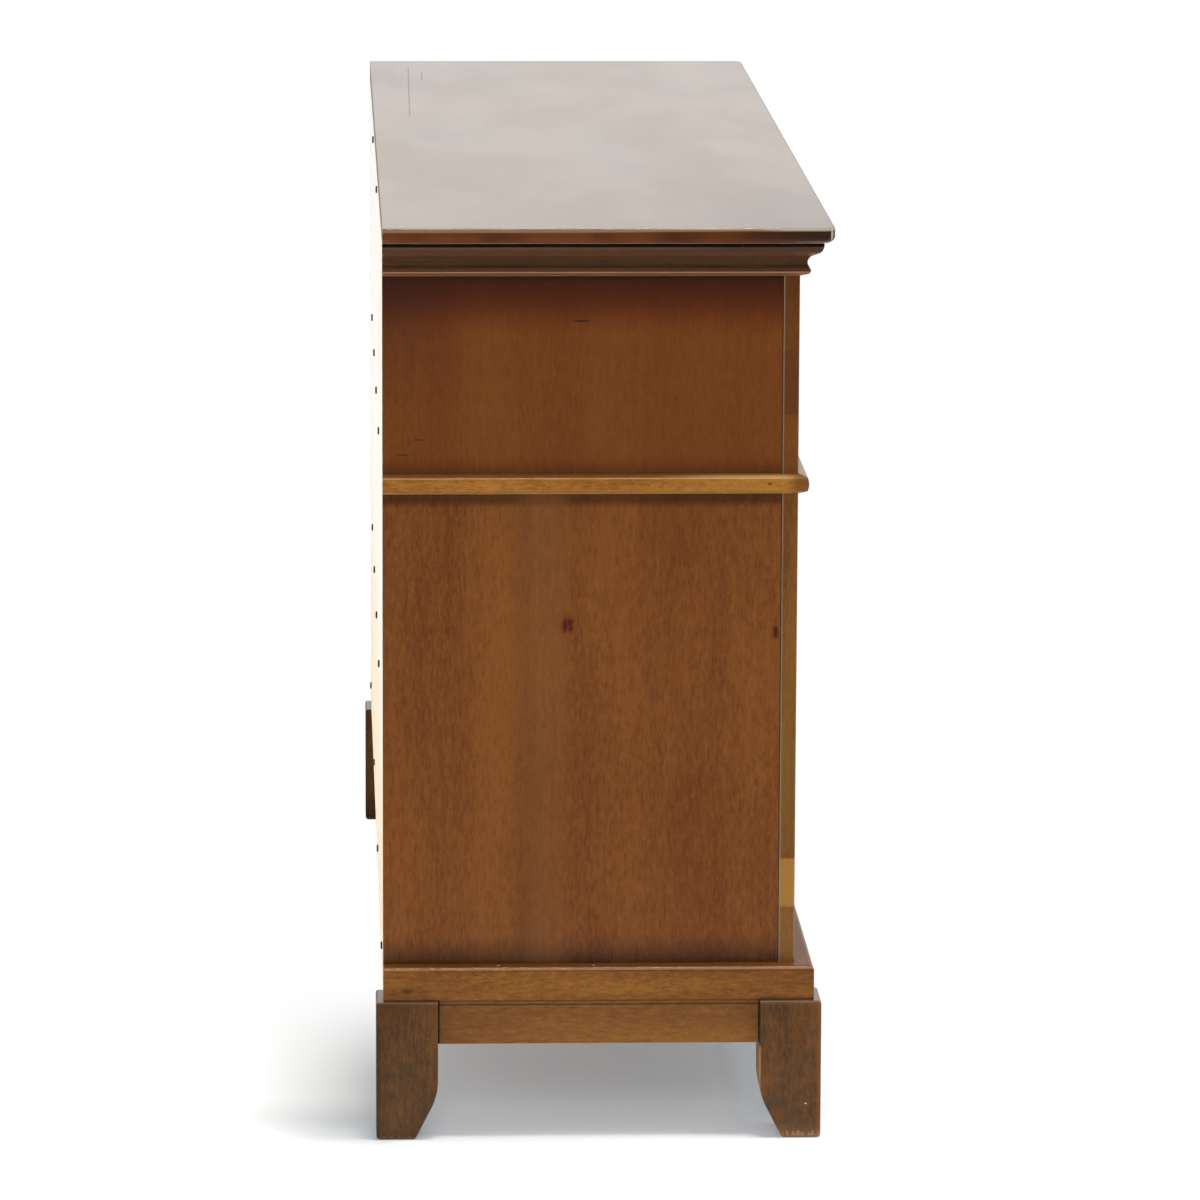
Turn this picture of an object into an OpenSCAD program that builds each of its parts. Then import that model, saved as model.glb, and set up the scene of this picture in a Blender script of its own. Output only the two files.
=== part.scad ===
// Long wooden dresser on four bracket feet: a veneered case with a solid face frame,
// mitred crown, belt and base mouldings, and seven inset drawers on wooden centre guides.
// Millimetres. X runs along the length, the front faces -Y and Z is up. The origin is on
// the floor at the middle of the dresser's outer box.

/* [Case] */
// Length of the case over its two side panels
case_length = 1569; // [1300:1:1900]
// Depth of the case from its back to the front of the face frame
case_depth = 423.5; // [380:0.5:500]
// Height of the case from the top of the feet to the top of the crown moulding
case_height = 780.5; // [740:0.5:900]
// Thickness of a side panel
side_thickness = 18; // [16:0.5:25]
// Depth of the V groove's slope where a side panel meets its stile
seam_slope = 1.2; // [0.5:0.1:2]

/* [Top] */
// Thickness of the top
top_thickness = 16.9; // [14:0.1:25]
// How far the top stands out from the case at the front and the ends
top_overhang = 33.5; // [32:0.5:45]
// Radius of the top's upper edge
top_upper_round = 2; // [1:0.1:4]
// How far the round under the top's edge reaches inwards
top_under_reach = 11.5; // [2:0.5:12]
// Height of the round under the top's edge
top_under_height = 8; // [2:0.5:8]
// Radius of the top's two front corners, seen from above
top_corner = 12; // [12:0.5:20]
// Height of the thin frame that lifts the top off the crown moulding
lift_height = 3; // [2:0.1:10]
// How far the lifting frame stands out from the case
lift_reach = 22.9; // [10:0.1:22.9]
// Width of a member of the lifting frame, inside the case's outline
lift_width = 60; // [40:1:90]

/* [Crown moulding] */
// Height of the crown moulding
crown_height = 32.8; // [30:0.1:40]
// How far the crown moulding stands out from the case
crown_reach = 22.9; // [22.9:0.1:28]
// Radius of the round upper part of the crown
ovolo_radius = 8.8; // [8:0.1:10]
// Radius of the hollow in the middle of the crown
cove_radius = 8.6; // [8:0.1:9]
// How far the bead at the foot of the crown stands out
bead_reach = 10.2; // [9:0.1:12]
// Radius of the bead
bead_round = 3.8; // [1.5:0.1:4]

/* [Belt moulding] */
// Height of the belt moulding's foot above the foot of the case
belt_level = 524.1; // [480:0.1:560]
// Height of the belt moulding where it lies against the case
belt_height = 21.1; // [19:0.1:26]
// How far the belt's upper surface falls towards its edge
belt_weathering = 3; // [0.5:0.1:4]
// How far the belt moulding stands out from the case
belt_reach = 10.4; // [8:0.1:18]
// Radius of the belt's bulging face
belt_face_round = 20; // [14:1:60]
// Height of the belt's widest line above its foot
belt_face_level = 10.9; // [8:0.1:12]
// Radius of the belt's upper edge
belt_upper_round = 1.6; // [0.5:0.1:3]
// Radius of the belt's lower edge
belt_lower_round = 1.8; // [0.5:0.1:3]

/* [Base moulding] */
// Height of the base moulding
base_height = 35; // [28:0.1:45]
// How far the base moulding stands out from the case
base_reach = 19.5; // [18:0.5:26]
// Radius of the base moulding's upper edge
base_round = 5; // [1:0.1:6]

/* [Feet] */
// Height of a foot
foot_height = 145; // [110:1:200]
// Width of a foot along the length of the dresser
foot_width = 60; // [54:1:80]
// Depth of a foot from front to back
foot_depth = 63.4; // [54:0.1:80]
// How far a foot stands out from the case at the front and the ends
foot_reach = 26.8; // [26:0.1:32]
// How far a rear foot stands out behind the case
rear_foot_reach = 7.3; // [0:0.1:20]
// How much narrower the taper makes a foot at the floor, on each inner side
foot_taper = 24; // [10:0.5:28]
// Angle of the taper from the vertical
taper_angle = 27; // [20:1:35]
// Radius that leads from the straight part of a foot into the taper
taper_blend = 65; // [20:1:90]
// Radius of the foot's edges at the floor
foot_round = 5; // [2:0.5:7]
// Radius of the foot's upper outer edges
foot_top_round = 3; // [0.5:0.1:4]

/* [Aprons] */
// Height of an apron
apron_height = 47.5; // [35:0.5:70]
// Thickness of an apron
apron_thickness = 18; // [12:0.5:22]
// How far the face of an apron stands out from the case
apron_reach = 11; // [5:0.5:15]
// Height of the narrow step along the top of an apron
step_height = 5.4; // [3:0.1:8]
// How far the step stands out from the apron
step_reach = 3; // [1:0.1:4]
// Gap between an apron and a foot
apron_gap = 0.3; // [0.3:0.1:2]
// Side of a square glue block behind an apron
block_size = 34; // [24:1:44]
// Height of a glue block
block_height = 40; // [25:1:46]

/* [Face frame] */
// Thickness of the face frame's stiles
frame_thickness = 16.5; // [14:0.5:22]
// Width of a stile
stile_width = 44; // [36:1:60]
// Depth of the rails and dividers from front to back
rail_depth = 60; // [45:1:75]
// Height of the top rail
top_rail_height = 50; // [42:1:60]
// Height of the rail behind the belt moulding
belt_rail_height = 40; // [30:1:50]
// How far the belt rail reaches below the belt moulding
belt_rail_drop = 8.8; // [6:0.1:14]
// Height of the rail between the two lower rows
middle_rail_height = 26; // [22:1:36]
// Height of the bottom rail
bottom_rail_height = 51; // [44:1:60]
// Width of a divider between two drawers
divider_width = 30; // [24:1:44]

/* [Drawers] */
// Gap around a drawer front
front_gap = 2; // [1:0.1:3]
// How far the drawer fronts are set back in the face frame
front_recess = 4; // [1:0.5:6]
// Thickness of a drawer front
front_thickness = 20; // [18:0.5:24]
// Radius of a drawer front's outer edges
front_round = 1.8; // [0.5:0.1:3]
// Thickness of the sides and back of a drawer
board_thickness = 12; // [10:0.5:14]
// Space between the end of a drawer and the back rails
drawer_end_gap = 14.5; // [12:0.5:60]
// Gap between a drawer's side and the opening
side_gap = 4; // [2:0.5:8]
// Space above a drawer's sides in the opening
side_headroom = 18; // [12:1:40]
// Radius of the drawer sides' upper edges
side_round = 4; // [1:0.5:4.5]
// Running clearance between a drawer and what carries it
running_gap = 0.4; // [0.3:0.1:1]
// Thickness of a drawer bottom
bottom_thickness = 5; // [4:0.5:8]
// Height of a drawer bottom above the lower edge of the sides
bottom_lift = 12; // [11:0.5:16]
// Depth of the grooves that hold the bottom
groove_depth = 5; // [3:0.5:6]
// Clearance of a glued joint
joint_gap = 0.1; // [0.05:0.05:0.3]
// Length of the dovetail that joins a side to the front
dovetail_length = 8; // [6:0.5:12]
// Width of the dovetail at its neck
dovetail_neck = 5; // [4:0.5:6]
// Width of the dovetail at its end
dovetail_end = 8; // [6.5:0.5:9]

/* [Guides] */
// Width of a centre guide
guide_width = 20; // [14:1:30]
// How far a guide stands above the rails
guide_rise = 8; // [5:0.5:9]
// How far a guide hangs below the top of the rails
guide_drop = 12; // [8:1:15]
// Thickness of a drawer runner's wall beside the guide
runner_wall = 12; // [8:1:20]
// Thickness of the wooden stop on a drawer's back
stop_thickness = 9; // [6:0.5:10]
// Width of the stop
stop_width = 24; // [16:1:40]
// Height of the stop
stop_height = 45; // [38:1:70]
// How far the stop reaches above the opening
stop_rise = 8; // [4:0.5:10]

/* [Knobs] */
// Radius of a knob
knob_radius = 16; // [12:0.5:19]
// How far a knob stands out from its drawer front
knob_length = 21; // [18:0.5:30]
// Radius of the knob's foot
knob_foot = 10; // [8:0.5:12]
// Radius of the knob's neck
knob_neck = 6; // [5:0.5:7]
// Distance of a wide drawer's knobs from the middle of the drawer
knob_offset = 145; // [80:1:220]
// Radius of the screw that holds a knob
knob_screw = 2; // [1.5:0.1:2.5]
// Length of the knob screw inside the knob
knob_thread = 10; // [6:0.5:12]

/* [Back] */
// Thickness of the back panel
back_thickness = 5; // [3:0.5:8]
// Width of the rebate in a side panel that takes the back panel
rebate_width = 10; // [6:0.5:12]
// Thickness of the rails behind the back panel
back_rail_thickness = 20; // [16:1:24]
// Height of the uppermost back rail
top_back_rail_height = 30; // [24:1:36]
// Radius of a back screw's shank
screw_radius = 1.9; // [1.5:0.1:2.4]
// Length of a back screw's shank
screw_length = 20; // [14:0.5:22]
// Radius of a back screw's head
screw_head = 4; // [3:0.1:5]
// Height of a back screw's head
screw_head_height = 2; // [1:0.1:3]
// Clearance of a screw in its hole
screw_gap = 0.05; // [0.02:0.01:0.1]
// Distance from a back rail's end to its first screw in the uppermost row
top_screw_margin = 529; // [12:0.5:600]
// Number of screws in the uppermost row
top_screw_count = 2; // [2:1:4]
// Height of the uppermost row above the middle of its rail
top_screw_rise = 4; // [0:0.5:6]
// Distance from a back rail's end to its first screw in the lowest row
low_screw_margin = 54; // [12:0.5:600]
// Number of screws in the lowest row
low_screw_count = 4; // [2:1:4]
// Height of the lowest row above the middle of its rail
low_screw_rise = 12.5; // [0:0.5:14]
// Distance from a back rail's end to its first screw in the two middle rows
inner_screw_margin = 331.5; // [12:0.5:600]
// Number of screws in each middle row
inner_screw_count = 4; // [2:1:6]

/* [Hidden] */
$fn = 48;
over = 1;
arc_steps = 8;

// Levels above the floor
case_bottom = foot_height;
case_top = case_bottom + case_height;
slab_bottom = case_top + lift_height;
crown_bottom = case_top - crown_height;
belt_bottom = case_bottom + belt_level;
belt_rail_bottom = belt_bottom - belt_rail_drop;
belt_rail_top = belt_rail_bottom + belt_rail_height;
bottom_rail_top = case_bottom + bottom_rail_height;
top_rail_bottom = case_top - top_rail_height;
middle_rail_bottom = (bottom_rail_top + belt_rail_bottom - middle_rail_height) / 2;
middle_rail_top = middle_rail_bottom + middle_rail_height;

// Places along the length and from front to back
half_length = case_length / 2;
front_reach = max(top_overhang, foot_reach);
total_depth = front_reach + case_depth + rear_foot_reach;
front_y = front_reach - total_depth / 2;
back_y = front_y + case_depth;
seam_y = front_y + frame_thickness;
rail_back_y = front_y + rail_depth;
panel_y = back_y - back_thickness;
back_rail_y = panel_y - back_rail_thickness;
inner_half = half_length - side_thickness;
opening_span = case_length - 2 * stile_width;

// Drawers
top_opening = (opening_span - 2 * divider_width) / 3;
wide_opening = (opening_span - divider_width) / 2;
top_pitch = top_opening + divider_width;
wide_pitch = (wide_opening + divider_width) / 2;
face_y = front_y + front_recess;
box_y = face_y + front_thickness;
box_end_y = back_rail_y - drawer_end_gap;
drawer_length = box_end_y - box_y;

// One row for each drawer: name, middle, opening width, bottom and top of the opening
drawers = [
    ["top_left", -top_pitch, top_opening, belt_rail_top, top_rail_bottom],
    ["top_middle", 0, top_opening, belt_rail_top, top_rail_bottom],
    ["top_right", top_pitch, top_opening, belt_rail_top, top_rail_bottom],
    ["upper_left", -wide_pitch, wide_opening, middle_rail_top, belt_rail_bottom],
    ["upper_right", wide_pitch, wide_opening, middle_rail_top, belt_rail_bottom],
    ["lower_left", -wide_pitch, wide_opening, bottom_rail_top, middle_rail_bottom],
    ["lower_right", wide_pitch, wide_opening, bottom_rail_top, middle_rail_bottom]
];
drawer_parts = ["front", "box", "bottom", "knobs"];

// Colours
wood_face = [0.45, 0.26, 0.12];
wood_gold = [0.58, 0.38, 0.17];
wood_dark = [0.36, 0.23, 0.13];
wood_top = [0.40, 0.24, 0.14];
wood_black = [0.10, 0.06, 0.04];
wood_raw = [0.82, 0.70, 0.52];
panel_cream = [0.96, 0.92, 0.84];
bronze = [0.30, 0.24, 0.18];
screw_metal = [0.25, 0.25, 0.26];

case_nodes = [
    "top_panel", "top_lift_frame",
    "crown_moulding_front", "crown_moulding_left", "crown_moulding_right",
    "left_side_panel", "right_side_panel", "left_stile", "right_stile",
    "top_rail", "belt_rail", "middle_rail", "bottom_rail", "drawer_dividers",
    "belt_moulding_front", "belt_moulding_left", "belt_moulding_right",
    "base_moulding_front", "base_moulding_left", "base_moulding_right",
    "front_apron", "left_apron", "right_apron",
    "front_left_foot", "front_right_foot", "rear_left_foot", "rear_right_foot",
    "glue_blocks", "back_panel", "back_rails", "back_screws", "drawer_guides"
];

// Points of an arc about a centre
function arc(x, y, r, from, to) =
    [for (i = [0:arc_steps]) let (a = from + (to - from) * i / arc_steps) [x + r * cos(a), y + r * sin(a)]];

// Outline of a bar that stands out by reach, with its two outer edges rounded
function eased_bar(reach, height, upper, lower) = concat(
    [[0, 0]],
    arc(reach - lower, lower, lower, -90, 0),
    arc(reach - upper, height - upper, upper, 0, 90),
    [[0, height]]);

// Outline of the crown: a sloping foot, a bead, a hollow and a round under a small lip
bead_level = 6.4;
bead_start = -70;
bead_end = 50;
cove_reach = 6.9;
cove_level = 14.3;
cove_start = 200;
cove_end = 113;
ovolo_start = -70;
lip_round = 0.8;
lip_reach = 0.4;
lip_angle = -5;
crown_outline = concat(
    [[0, 0]],
    arc(bead_reach - bead_round, bead_level, bead_round, bead_start, bead_end),
    arc(cove_reach + cove_radius, cove_level, cove_radius, cove_start, cove_end),
    arc(crown_reach - lip_reach - ovolo_radius, crown_height, ovolo_radius, ovolo_start, lip_angle),
    arc(crown_reach - lip_round, crown_height - lip_round, lip_round, 0, 90),
    [[0, crown_height]]);

// Outline of the belt: a sloping foot under a bulging face, and an upper surface that falls outwards
belt_under_slope = 22;
belt_low_angle = 18.6;
belt_face_x = belt_reach - belt_face_round;
belt_crest = belt_height - belt_weathering;
belt_top_angle = 90 - atan(belt_weathering / belt_reach);
belt_high_angle = asin((belt_crest - belt_upper_round - belt_face_level) / (belt_face_round - belt_upper_round));
belt_outline = concat(
    [[0, 0]],
    arc(belt_face_x + (belt_face_round - belt_lower_round) * cos(belt_low_angle),
        belt_face_level - (belt_face_round - belt_lower_round) * sin(belt_low_angle),
        belt_lower_round, belt_under_slope - 90, -belt_low_angle),
    arc(belt_face_x, belt_face_level, belt_face_round, -belt_low_angle, belt_high_angle),
    arc(belt_face_x + (belt_face_round - belt_upper_round) * cos(belt_high_angle),
        belt_crest - belt_upper_round, belt_upper_round, belt_high_angle, belt_top_angle),
    [[0, belt_height]]);

// Outline of the top's outer edge, rounded above and more strongly below
slab_edge = concat(
    [[0, 0]],
    [for (i = [0:arc_steps]) let (a = 90 * i / arc_steps)
        [top_corner - top_under_reach * (1 - sin(a)), top_under_height * (1 - cos(a))]],
    arc(top_corner - top_upper_round, top_thickness - top_upper_round, top_upper_round, 0, 90),
    [[0, top_thickness]]);

// Outline of a foot of a given width, straight outside and tapered inside
taper_corner = foot_taper / tan(taper_angle);
blend_level = taper_corner + taper_blend * tan(taper_angle / 2);
function foot_outline(width) = concat(
    arc(foot_top_round, foot_height - foot_top_round, foot_top_round, 90, 180),
    arc(foot_round, foot_round, foot_round, 180, 270),
    arc(width - foot_taper - foot_round * (1 - sin(taper_angle)) / cos(taper_angle),
        foot_round, foot_round, -90, -taper_angle),
    arc(width - taper_blend, blend_level, taper_blend, -taper_angle, 0),
    [[width, foot_height]]);

// Moulding along the front, mitred at both ends
module front_moulding(outline, reach, level) {
    intersection() {
        translate([-half_length - reach, front_y, level])
            rotate([90, 0, 90])
            linear_extrude(case_length + 2 * reach)
            mirror([1, 0]) polygon(outline);
        translate([0, 0, level - over])
            linear_extrude(case_height)
            polygon([
                [-half_length, front_y], [half_length, front_y],
                [half_length + reach, front_y - reach], [-half_length - reach, front_y - reach]]);
    }
}

// Moulding along the right end, mitred at the front and cut square at the back
module right_moulding(outline, reach, level) {
    intersection() {
        translate([half_length, back_y, level])
            rotate([90, 0, 0])
            linear_extrude(case_depth + reach)
            polygon(outline);
        translate([0, 0, level - over])
            linear_extrude(case_height)
            polygon([
                [half_length, back_y], [half_length, front_y],
                [half_length + reach, front_y - reach], [half_length + reach, back_y]]);
    }
}

module left_moulding(outline, reach, level) {
    mirror([1, 0, 0]) right_moulding(outline, reach, level);
}

module top_panel() {
    half = half_length + top_overhang - top_corner;
    front = front_y - top_overhang + top_corner;
    color(wood_top) translate([0, 0, slab_bottom]) {
        translate([-half, front, 0]) cube([2 * half, back_y - front, top_thickness]);
        translate([-half, front, 0])
            rotate([90, 0, 90])
            linear_extrude(2 * half)
            mirror([1, 0]) polygon(slab_edge);
        for (side = [0, 1]) mirror([side, 0, 0]) {
            translate([half, back_y, 0])
                rotate([90, 0, 0])
                linear_extrude(back_y - front)
                polygon(slab_edge);
            translate([half, front, 0])
                rotate([0, 0, -90])
                rotate_extrude(angle = 90)
                polygon(slab_edge);
        }
    }
}

module top_lift_frame() {
    outer = half_length + lift_reach;
    inner = half_length - lift_width;
    front = front_y - lift_reach;
    inner_front = front_y + lift_width;
    color(wood_black) translate([0, 0, case_top]) {
        translate([-outer, front, 0]) cube([2 * outer, inner_front - front, lift_height]);
        translate([joint_gap - inner, back_y - lift_width, 0])
            cube([2 * (inner - joint_gap), lift_width, lift_height]);
        for (x = [-outer, inner])
            translate([x, inner_front + joint_gap, 0])
            cube([outer - inner, back_y - inner_front - joint_gap, lift_height]);
    }
}

module crown_moulding_front() {
    color(wood_dark) front_moulding(crown_outline, crown_reach, crown_bottom);
}

module crown_moulding_left() {
    color(wood_dark) left_moulding(crown_outline, crown_reach, crown_bottom);
}

module crown_moulding_right() {
    color(wood_dark) right_moulding(crown_outline, crown_reach, crown_bottom);
}

module right_side_panel() {
    color(wood_face)
        translate([0, 0, case_bottom])
        linear_extrude(case_height)
        polygon([
            [inner_half, seam_y], [inner_half, panel_y],
            [inner_half + rebate_width, panel_y], [inner_half + rebate_width, back_y],
            [half_length, back_y], [half_length, seam_y + seam_slope],
            [half_length - seam_slope, seam_y]]);
}

module left_side_panel() {
    mirror([1, 0, 0]) right_side_panel();
}

module right_stile() {
    color(wood_gold)
        translate([0, 0, case_bottom])
        linear_extrude(case_height)
        polygon([
            [half_length - stile_width, front_y], [half_length - seam_slope, front_y],
            [half_length, front_y + seam_slope], [half_length, seam_y - seam_slope],
            [half_length - seam_slope, seam_y], [half_length - stile_width, seam_y]]);
}

module left_stile() {
    mirror([1, 0, 0]) right_stile();
}

// Rail of the face frame, between the stiles
module rail(level, height) {
    color(wood_gold)
        translate([-opening_span / 2, front_y, level])
        cube([opening_span, rail_depth, height]);
}

module top_rail() {
    rail(top_rail_bottom, top_rail_height);
}

module belt_rail() {
    rail(belt_rail_bottom, belt_rail_height);
}

module middle_rail() {
    rail(middle_rail_bottom, middle_rail_height);
}

module bottom_rail() {
    rail(case_bottom, bottom_rail_height);
}

// Upright between two drawers
module divider(x, from, to) {
    color(wood_gold)
        translate([x - divider_width / 2, front_y, from])
        cube([divider_width, rail_depth, to - from]);
}

module drawer_dividers() {
    for (side = [-1, 1])
        divider(side * top_pitch / 2, belt_rail_top, top_rail_bottom);
    divider(0, middle_rail_top, belt_rail_bottom);
    divider(0, bottom_rail_top, middle_rail_bottom);
}

module belt_moulding_front() {
    color(wood_gold) front_moulding(belt_outline, belt_reach, belt_bottom);
}

module belt_moulding_left() {
    color(wood_gold) left_moulding(belt_outline, belt_reach, belt_bottom);
}

module belt_moulding_right() {
    color(wood_gold) right_moulding(belt_outline, belt_reach, belt_bottom);
}

base_lower_round = 0.8;
base_outline = eased_bar(base_reach, base_height, base_round, base_lower_round);

module base_moulding_front() {
    color(wood_gold) front_moulding(base_outline, base_reach, case_bottom);
}

module base_moulding_left() {
    color(wood_gold) left_moulding(base_outline, base_reach, case_bottom);
}

module base_moulding_right() {
    color(wood_gold) right_moulding(base_outline, base_reach, case_bottom);
}

// Apron between two feet: its outline has a narrow step along the top
apron_edge_round = 1.5;
apron_outline = concat(
    [[-apron_thickness, 0]],
    arc(-apron_edge_round, apron_edge_round, apron_edge_round, -90, 0),
    [
        [0, apron_height - step_height], [step_reach, apron_height - step_height],
        [step_reach, apron_height], [-apron_thickness, apron_height]]);
apron_bottom = case_bottom - apron_height;

module front_apron() {
    half = half_length + foot_reach - foot_width - apron_gap;
    color(wood_gold)
        translate([-half, front_y - apron_reach, apron_bottom])
        rotate([90, 0, 90])
        linear_extrude(2 * half)
        mirror([1, 0]) polygon(apron_outline);
}

module right_apron() {
    from = front_y - foot_reach + foot_depth + apron_gap;
    to = back_y + rear_foot_reach - foot_depth - apron_gap;
    color(wood_gold)
        translate([half_length + apron_reach, to, apron_bottom])
        rotate([90, 0, 0])
        linear_extrude(to - from)
        polygon(apron_outline);
}

module left_apron() {
    mirror([1, 0, 0]) right_apron();
}

// Foot in its own corner: outer faces at x = 0 and y = 0, the foot lies on the positive side
module foot() {
    color(wood_dark) intersection() {
        translate([0, foot_depth, 0])
            rotate([90, 0, 0])
            linear_extrude(foot_depth)
            polygon(foot_outline(foot_width));
        rotate([90, 0, 90])
            linear_extrude(foot_width)
            polygon(foot_outline(foot_depth));
    }
}

module front_left_foot() {
    translate([-half_length - foot_reach, front_y - foot_reach, 0]) foot();
}

module front_right_foot() {
    mirror([1, 0, 0]) front_left_foot();
}

module rear_left_foot() {
    translate([-half_length - foot_reach, back_y + rear_foot_reach, 0]) mirror([0, 1, 0]) foot();
}

module rear_right_foot() {
    mirror([1, 0, 0]) rear_left_foot();
}

// Square blocks glued under the bottom rails, beside the feet
module glue_blocks() {
    x = half_length + foot_reach - foot_width - block_size;
    color(wood_raw) for (side = [0, 1]) mirror([side, 0, 0]) {
        translate([x, front_y - apron_reach + apron_thickness, case_bottom - block_height])
            cube([block_size, block_size, block_height]);
        translate([x, panel_y - block_size, case_bottom - block_height])
            cube([block_size, block_size, block_height]);
    }
}

// Bottom and height of each back rail, and its screws' margin, count and height above its middle
back_rail_rows = [
    [case_bottom, bottom_rail_height, low_screw_margin, low_screw_count, low_screw_rise],
    [middle_rail_bottom, middle_rail_height, inner_screw_margin, inner_screw_count, 0],
    [belt_rail_bottom, belt_rail_height, inner_screw_margin, inner_screw_count, 0],
    [case_top - top_back_rail_height, top_back_rail_height, top_screw_margin, top_screw_count, top_screw_rise]
];

// Puts its children at every back screw
module at_back_screws() {
    for (row = back_rail_rows, i = [0:1:row[3] - 1])
        translate([(inner_half - row[2]) * (2 * i / (row[3] - 1) - 1), back_y, row[0] + row[1] / 2 + row[4]])
        rotate([90, 0, 0])
        children();
}

module back_screw_holes() {
    at_back_screws() translate([0, 0, -over])
        cylinder(r = screw_radius + screw_gap, h = screw_length + over + screw_gap);
}

module back_panel() {
    half = inner_half + rebate_width - joint_gap;
    color(panel_cream) difference() {
        translate([-half, panel_y, case_bottom]) cube([2 * half, back_thickness, case_height]);
        back_screw_holes();
    }
}

module back_rails() {
    color(wood_raw) difference() {
        for (row = back_rail_rows)
            translate([-inner_half, back_rail_y, row[0]])
            cube([2 * inner_half, back_rail_thickness, row[1]]);
        back_screw_holes();
    }
}

screw_head_bevel = 1;

module back_screws() {
    color(screw_metal) at_back_screws() {
        cylinder(r = screw_radius, h = screw_length);
        translate([0, 0, -screw_head_height])
            cylinder(r1 = screw_head - screw_head_bevel, r2 = screw_head, h = screw_head_height);
    }
}

module drawer_guides() {
    start = box_y + running_gap;
    color(wood_raw) for (d = drawers) translate([d[1] - guide_width / 2, 0, d[3]]) {
        translate([0, start, 0]) cube([guide_width, panel_y - start, guide_rise]);
        translate([0, rail_back_y, -guide_drop])
            cube([guide_width, back_rail_y - rail_back_y, guide_drop]);
    }
}

// Drawer parts: d is a row of the table of drawers
function box_half(d) = d[2] / 2 - side_gap;
function box_bottom(d) = d[3] + running_gap;
function box_top(d) = d[4] - side_headroom;
function bottom_level(d) = box_bottom(d) + bottom_lift;
function knob_places(d) = d[2] > top_opening + over ? [-knob_offset, knob_offset] : [0];

// Space of a drawer's bottom, larger by a gap all round where it is a groove
module bottom_space(d, gap) {
    half = box_half(d) - board_thickness + groove_depth + gap;
    translate([d[1] - half, box_y - groove_depth - gap, bottom_level(d) - (gap > 0 ? joint_gap : 0)])
        cube([2 * half, groove_depth + drawer_length + 2 * gap, bottom_thickness + 2 * gap]);
}

// Dovetail at the front end of a drawer's side, larger by a gap where it is a socket
module dovetail(x, from, to, gap) {
    translate([x, box_y, from])
        linear_extrude(to - from)
        polygon([
            [-dovetail_neck / 2 - gap, 0], [-dovetail_end / 2 - gap, -dovetail_length - gap],
            [dovetail_end / 2 + gap, -dovetail_length - gap], [dovetail_neck / 2 + gap, 0]]);
}

module at_drawer_sides(d) {
    for (side = [-1, 1]) translate([d[1] + side * (box_half(d) - board_thickness / 2), 0, 0]) children();
}

module drawer_front(d) {
    half = d[2] / 2 - front_gap;
    low = d[3] + front_gap;
    height = d[4] - d[3] - 2 * front_gap;
    color(wood_face) difference() {
        intersection() {
            translate([d[1] - half, box_y, low])
                rotate([90, 0, 90])
                linear_extrude(2 * half)
                mirror([1, 0]) polygon(eased_bar(front_thickness, height, front_round, front_round));
            translate([d[1] - half, box_y, low])
                linear_extrude(height)
                rotate(-90) polygon(eased_bar(front_thickness, 2 * half, front_round, front_round));
        }
        bottom_space(d, joint_gap);
        at_drawer_sides(d) dovetail(0, low - over, box_top(d) + joint_gap, joint_gap);
        for (x = knob_places(d))
            translate([d[1] + x, box_y + over, (d[3] + d[4]) / 2])
            rotate([90, 0, 0])
            cylinder(r = knob_screw + screw_gap, h = front_thickness + 2 * over);
    }
}

module drawer_box(d) {
    back_half = box_half(d) - board_thickness - joint_gap;
    runner_half = guide_width / 2 + running_gap + runner_wall;
    side_height = box_top(d) - box_bottom(d);
    color(wood_raw) {
        difference() {
            at_drawer_sides(d) {
                translate([-board_thickness / 2, box_end_y, box_bottom(d)])
                    rotate([90, 0, 0])
                    linear_extrude(drawer_length)
                    polygon(concat(
                        [[0, 0], [board_thickness, 0]],
                        arc(board_thickness - side_round, side_height - side_round, side_round, 0, 90),
                        arc(side_round, side_height - side_round, side_round, 90, 180)));
                dovetail(0, d[3] + front_gap, box_top(d), 0);
            }
            bottom_space(d, joint_gap);
        }
        translate([d[1] - back_half, box_end_y - board_thickness, bottom_level(d) + bottom_thickness])
            cube([
                2 * back_half, board_thickness,
                box_top(d) - side_round - bottom_level(d) - bottom_thickness]);
        difference() {
            translate([d[1] - runner_half, box_y, box_bottom(d) + running_gap])
                cube([2 * runner_half, drawer_length, bottom_lift - running_gap]);
            translate([d[1] - guide_width / 2 - running_gap, box_y - over, d[3] - over])
                cube([guide_width + 2 * running_gap, drawer_length + 2 * over, guide_rise + running_gap + over]);
        }
        translate([d[1] - stop_width / 2, box_end_y + joint_gap, d[4] + stop_rise - stop_height])
            cube([stop_width, stop_thickness, stop_height]);
    }
}

module drawer_bottom(d) {
    color(wood_raw) bottom_space(d, 0);
}

// Round knob on a slim foot, held by a screw through the drawer front
knob_foot_height = 3;
knob_chamfer = 1;
knob_rim = 2.5;
knob_rim_angle = 60;
knob_crown = 5;
knob_rim_level = knob_length - knob_crown;
knob_under = 6;
knob_screw_head = 4;
knob_screw_head_height = 2.4;

module knob() {
    difference() {
        rotate_extrude() polygon(concat(
            [
                [0, 0], [knob_foot, 0], [knob_foot, knob_foot_height - knob_chamfer],
                [knob_foot - knob_chamfer, knob_foot_height], [knob_neck, knob_foot_height + knob_chamfer],
                [knob_neck, knob_rim_level - knob_under]],
            arc(knob_radius - knob_rim, knob_rim_level, knob_rim, -knob_rim_angle, knob_rim_angle),
            [[0, knob_length]]));
        translate([0, 0, -over]) cylinder(r = knob_screw + screw_gap, h = knob_thread + over + joint_gap);
    }
}

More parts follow.
